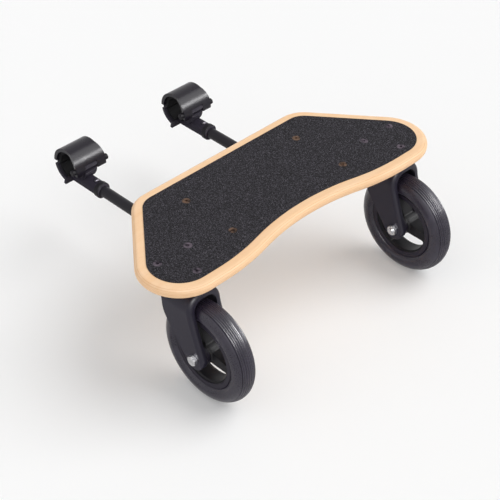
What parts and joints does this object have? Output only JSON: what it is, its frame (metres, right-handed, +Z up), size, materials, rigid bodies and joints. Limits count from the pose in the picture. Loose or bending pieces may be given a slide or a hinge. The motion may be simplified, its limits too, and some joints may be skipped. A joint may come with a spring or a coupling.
{
  "type": "buggy board",
  "caption": "Ride-on board for behind a pushchair: waisted plywood deck with a grit sheet, swivelling caster wheels and bent arms that end in hinged axle clamps.",
  "frame": {"origin": "on the floor under the middle of the object's box", "axes": "+X across the board, +Y from the deck towards the pushchair, +Z up"},
  "size_m": [0.4996, 0.4716, 0.1925],
  "materials": {
    "maple_ply": "clear satin lacquer",
    "grit_sheet": "fine grit",
    "bronze_screws": "dark bronze",
    "black_screws": "black",
    "black_nylon": "moulded",
    "zinc_steel": "zinc plated",
    "arm_paint": "black powder coat",
    "black_steel": "black",
    "bearing_steel": "ground",
    "fork_nylon": "fine moulded texture",
    "rim_nylon": "moulded",
    "tyre_rubber": "moulded with fine tread lines",
    "sleeve_nylon": "moulded",
    "lid_nylon": "satin",
    "cap_nylon": "moulded",
    "liner_rubber": "matt",
    "nickel_button": "nickel plated",
    "spring_steel": "bright"
  },
  "bodies": {
    "board": {"deck": "maple_ply", "grip_sheet": "grit_sheet", "arm_screws": "bronze_screws", "arm_saddles": "black_nylon", "arm_nuts": "zinc_steel", "caster_screws": "black_screws", "arm_left": "arm_paint", "arm_right": "arm_paint", "arm_plug_left": "black_nylon", "arm_plug_right": "black_nylon", "caster_plate_left": "black_steel", "caster_plate_right": "black_steel", "kingpin_nut_left": "zinc_steel", "kingpin_nut_right": "zinc_steel", "clamp_body_left": "sleeve_nylon", "clamp_body_right": "sleeve_nylon", "jaw_liner_left": "liner_rubber", "jaw_liner_right": "liner_rubber", "hinge_pin_left": "zinc_steel", "hinge_pin_right": "zinc_steel", "hinge_caps_left": "cap_nylon", "hinge_caps_right": "cap_nylon", "sleeve_collar_left": "cap_nylon", "sleeve_collar_right": "cap_nylon", "button_spring_left": "spring_steel", "button_spring_right": "spring_steel"},
    "caster_left": {"fork_left": "fork_nylon", "swivel_bearings_left": "bearing_steel", "axle_bolt_left": "zinc_steel", "axle_nut_left": "zinc_steel", "axle_spacers_left": "black_nylon"},
    "wheel_left": {"rim_left": "rim_nylon", "tyre_left": "tyre_rubber", "hub_bearings_left": "bearing_steel"},
    "lid_left": {"clamp_lid_left": "lid_nylon", "lid_liner_left": "liner_rubber", "clamp_screws_left": "zinc_steel"},
    "button_left": {"release_button_left": "nickel_button"},
    "caster_right": {"fork_right": "fork_nylon", "swivel_bearings_right": "bearing_steel", "axle_bolt_right": "zinc_steel", "axle_nut_right": "zinc_steel", "axle_spacers_right": "black_nylon"},
    "wheel_right": {"rim_right": "rim_nylon", "tyre_right": "tyre_rubber", "hub_bearings_right": "bearing_steel"},
    "lid_right": {"clamp_lid_right": "lid_nylon", "lid_liner_right": "liner_rubber", "clamp_screws_right": "zinc_steel"},
    "button_right": {"release_button_right": "nickel_button"}
  },
  "joints": [
    {"name": "caster_swivel_left", "type": "hinge", "parent": "board", "child": "caster_left", "pos_m": [-0.1905, -0.111, 0.155], "axis": [0, 0, 1], "continuous": true},
    {"name": "wheel_spin_left", "type": "hinge", "parent": "caster_left", "child": "wheel_left", "pos_m": [-0.1905, -0.1608, 0.075], "axis": [1, 0, 0], "continuous": true},
    {"name": "lid_hinge_left", "type": "hinge", "parent": "board", "child": "lid_left", "pos_m": [-0.1015, 0.1775, 0.1463], "axis": [1, 0, 0], "range_deg": [0, 70]},
    {"name": "button_press_left", "type": "slide", "parent": "board", "child": "button_left", "axis": [0, 0, -1], "range_m": [0, 0.003], "stiffness_N_per_m": 900, "deforming": ["button_spring_left"]},
    {"name": "caster_swivel_right", "type": "hinge", "parent": "board", "child": "caster_right", "pos_m": [0.1905, -0.111, 0.155], "axis": [0, 0, 1], "continuous": true},
    {"name": "wheel_spin_right", "type": "hinge", "parent": "caster_right", "child": "wheel_right", "pos_m": [0.1905, -0.1608, 0.075], "axis": [1, 0, 0], "continuous": true},
    {"name": "lid_hinge_right", "type": "hinge", "parent": "board", "child": "lid_right", "pos_m": [0.1015, 0.1775, 0.1463], "axis": [1, 0, 0], "range_deg": [0, 70]},
    {"name": "button_press_right", "type": "slide", "parent": "board", "child": "button_right", "axis": [0, 0, -1], "range_m": [0, 0.003], "stiffness_N_per_m": 900, "deforming": ["button_spring_right"]}
  ]
}
